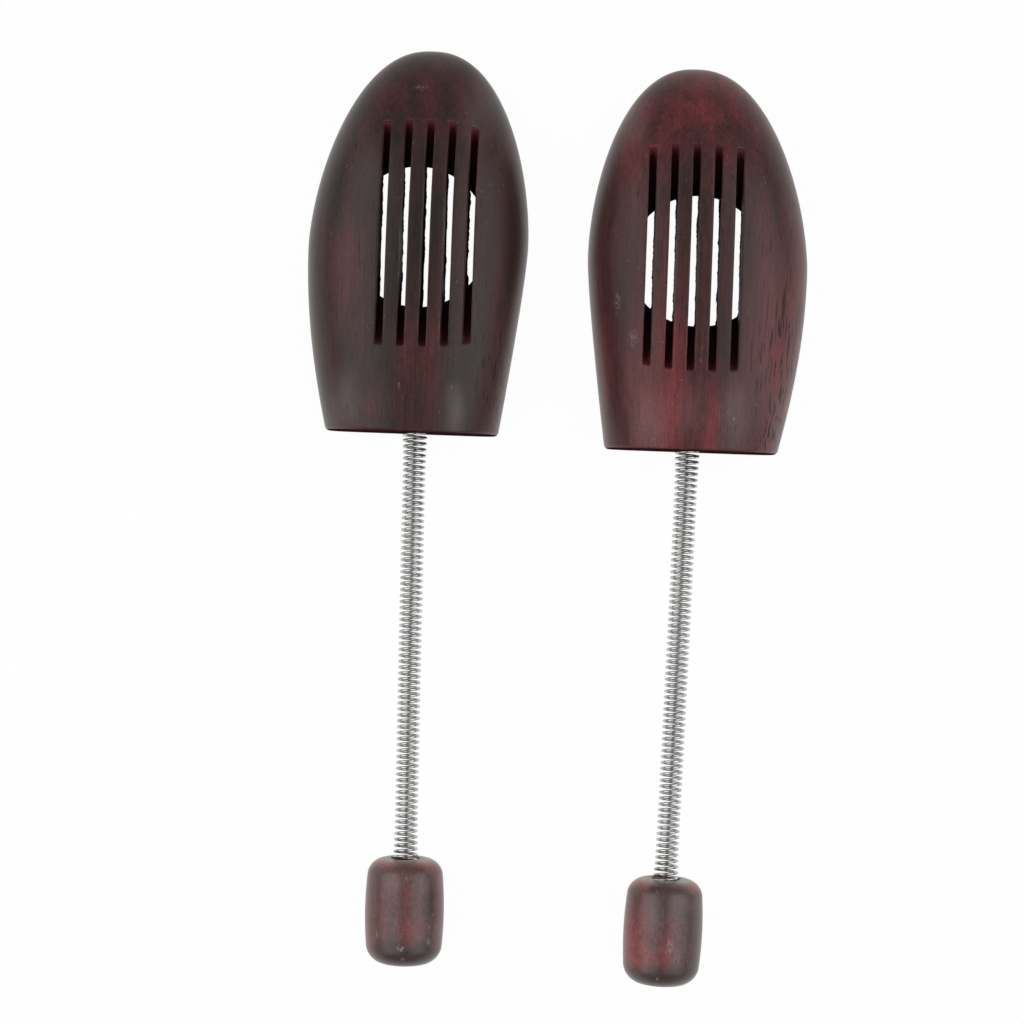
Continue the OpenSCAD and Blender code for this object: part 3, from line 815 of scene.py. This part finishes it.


# Looks of the trees

# Height up the block, from 0 at the sole to 1 at the top, and the raw wood's colour there: painted shade
# makes it near black low down in the slots, pocket and bore, fading to dark red higher up
SLOT_SHADE_STOPS = [(0.2, (0.006, 0.003, 0.003)), (0.5, (0.14, 0.045, 0.045)),
              (0.78, (0.16, 0.04, 0.043)), (0.95, (0.06, 0.015, 0.017))]
BORE_STOPS = [(0.0, (0.4, 0.2, 0.19)), (1.0, (0.4, 0.2, 0.19))]
REAR_FACE = (0.035, 0.009, 0.010)
KNOB_COLORS = ((0.07, 0.045, 0.042), (0.145, 0.062, 0.061), (0.29, 0.066, 0.066))
BLOCK_FIGURE, BLOCK_GLOSS, BLOCK_RIM = 16.0, (0.31, 0.3), 0.25
KNOB_FIGURE, KNOB_GLOSS, KNOB_RIM = 1.4, (0.29, 0.5), 0.35


class Look:
    """Where a tree's wood is redder, deeper or scuffed, and where sheen and shade are painted on it.

    Spots are x and y in millimetres, their reaches that way and a strength. Stains are redder
    above 0 and deeper below; on the knobs the spots beside the spring are partly a painted highlight.
    The sheen and shade spots paint a grey sheen above 0 and shade below. The pores' side runs
    from x to x and from y to y.
    """

    def __init__(self, colors, stains, haze, marks, pore_side, knob_stains, knob_haze, knob_marks_and_highlight):
        self.colors, self.stains, self.haze, self.marks = colors, stains, haze, marks
        self.pore_side = pore_side
        self.knob_stains, self.knob_haze, self.knob_marks_and_highlight = knob_stains, knob_haze, knob_marks_and_highlight


LOOKS = {
    "left": Look(
        colors=((0.026, 0.016, 0.015), (0.050, 0.021, 0.020), (0.11, 0.026, 0.029)),
        stains=[(-22, 56, 10, 28, 0.14), (28, 58, 9, 26, 0.06), (4, 108, 24, 16, 0.2),
                (2, 26, 13, 20, 0.17), (-10, 8, 9, 10, 0.12), (6, 66, 16, 34, -0.12),
                (18, 8, 12, 20, -0.14), (-22, 14, 9, 20, -0.08)],
        # Painted grey sheen above 0 and painted shade below 0
        haze=[(18, 100, 9, 16, 0.35), (-21, 8, 8, 16, 0.55), (14, 7, 5, 12, 0.5),
              (-17, 84, 7, 20, 0.15), (28, 62, 11, 34, -0.6)],
        marks=[(-0.6, 106.6, 2.6, 1.2, 0.35), (-4, 14, 0.8, 1.4, 0.3)],
        pore_side=(14, 27, 55, 10),
        # Darker towards the heel end (y -14); the last two spots pale the rim beside the spring: worn stain
        # and a painted highlight
        knob_stains=[(4, -5, 8, 8, 0.12), (0, 12, 12, 5, -0.06), (0, -14, 16, 8, -0.34),
                     (-8, 15.5, 5, 3, 0.4), (8, 15.5, 5, 3, 0.4)],
        # Painted grey sheen on the upper part and painted shade at the heel end
        knob_haze=[(-4, 11, 8, 7, 0.35), (7, 10, 6, 6, 0.2), (0, -12, 16, 7, -0.35)],
        # The last two marks, at the spring end, are worn stain and a painted highlight
        knob_marks_and_highlight=[(-7.8, -6.5, 0.9, 1.3, 0.8), (8.2, -3.6, 0.7, 1.5, 0.8), (7.8, -8, 0.9, 1.6, 0.6),
                    (-0.5, -10.3, 1.7, 1.5, 0.9), (0.3, -13.8, 0.9, 0.9, 0.6), (0.3, 11.5, 0.8, 0.8, 0.6),
                    (9, 0, 0.5, 0.8, 0.6), (-6, 16, 4, 1.5, 0.5), (6.5, 16, 4, 1.5, 0.5)]),
    "right": Look(
        colors=((0.048, 0.020, 0.020), (0.092, 0.026, 0.028), (0.23, 0.038, 0.044)),
        stains=[(-24, 40, 13, 42, 0.1), (-3, 112, 24, 14, 0.03), (-3, 13, 18, 24, 0.2),
                (22, 66, 12, 36, -0.1), (24, 14, 10, 20, -0.1), (-4, 60, 12, 30, -0.04)],
        # Painted grey sheen above 0 and painted shade below 0
        haze=[(-14, 9, 8, 14, 0.3), (12, 12, 7, 16, 0.4), (-21, 100, 6, 12, 0.3),
              (24, 14, 7, 22, 0.3), (-2, 12, 9, 14, 0.25), (-23, 44, 11, 36, -0.7),
              (20, 84, 10, 22, -0.3)],
        marks=[(-4.7, 21.5, 1.0, 0.5, 0.9), (-20, 34, 2.2, 4, 0.3), (-25, 45, 1.2, 5, 0.3)],
        pore_side=(12, 28, 95, 25),
        # Darker towards the heel end (y -15); the last two spots pale the rim beside the spring: worn stain
        # and a painted highlight
        knob_stains=[(-9, -3, 6, 12, 0.24), (-2, -6, 9, 6, 0.1), (1, 9, 12, 7, -0.08),
                     (1, -15, 18, 8, -0.5), (-8, 15.5, 5, 3, 0.4), (8, 15.5, 5, 3, 0.4)],
        # Painted grey sheen on the upper part and painted shade at the heel end
        knob_haze=[(-4, 7, 8, 9, 0.3), (5, 10, 8, 6, 0.3), (2, -11, 16, 7, -0.3)],
        # The last two marks, at the spring end, are worn stain and a painted highlight
        knob_marks_and_highlight=[(1.7, -3.2, 1.6, 3.4, 0.5), (4, -7, 1.4, 4, 0.4), (-1.7, -13.7, 0.8, 0.8, 0.6),
                    (-3, 13.4, 0.8, 0.8, 0.5), (-6, 16, 4, 1.5, 0.5), (6.5, 16, 4, 1.5, 0.5)])}


def block_wood(tree):
    look, shift = LOOKS[tree.name], (tree.side * 40, 13, 7)
    return wood(tree.name + "_block_wood", tree, look.colors, shift, BLOCK_FIGURE, look.stains, look.haze,
                look.marks, SLOT_SHADE_STOPS, BLOCK_GLOSS, BLOCK_RIM, REAR_FACE, look.pore_side)


def knob_wood(tree):
    look, shift = LOOKS[tree.name], (tree.side * 70, 3, 47)
    middle = tree.mirrored(tree.line_point(tree.show + KNOB_LEN / 2))[0]
    return wood(tree.name + "_knob_wood", tree, KNOB_COLORS, shift, KNOB_FIGURE, look.knob_stains,
                look.knob_haze, look.knob_marks_and_highlight, BORE_STOPS, KNOB_GLOSS, KNOB_RIM, at=middle[:2])


bpy.context.scene.view_settings.view_transform = "Standard"
make_camera()
make_world()
make_floor()
soft_box("left_box", (-BOX_ASIDE, BOX_BACK, BOX_UP))
soft_box("right_box", (BOX_ASIDE, BOX_BACK, BOX_UP))

wire = steel()
for tree in TREES:
    block_mat, knob_mat = block_wood(tree), knob_wood(tree)
    paint(forefoot_block(tree), block_mat)
    paint(heel_knob(tree), knob_mat)
    for piece in spring(tree):
        paint(piece, wire)
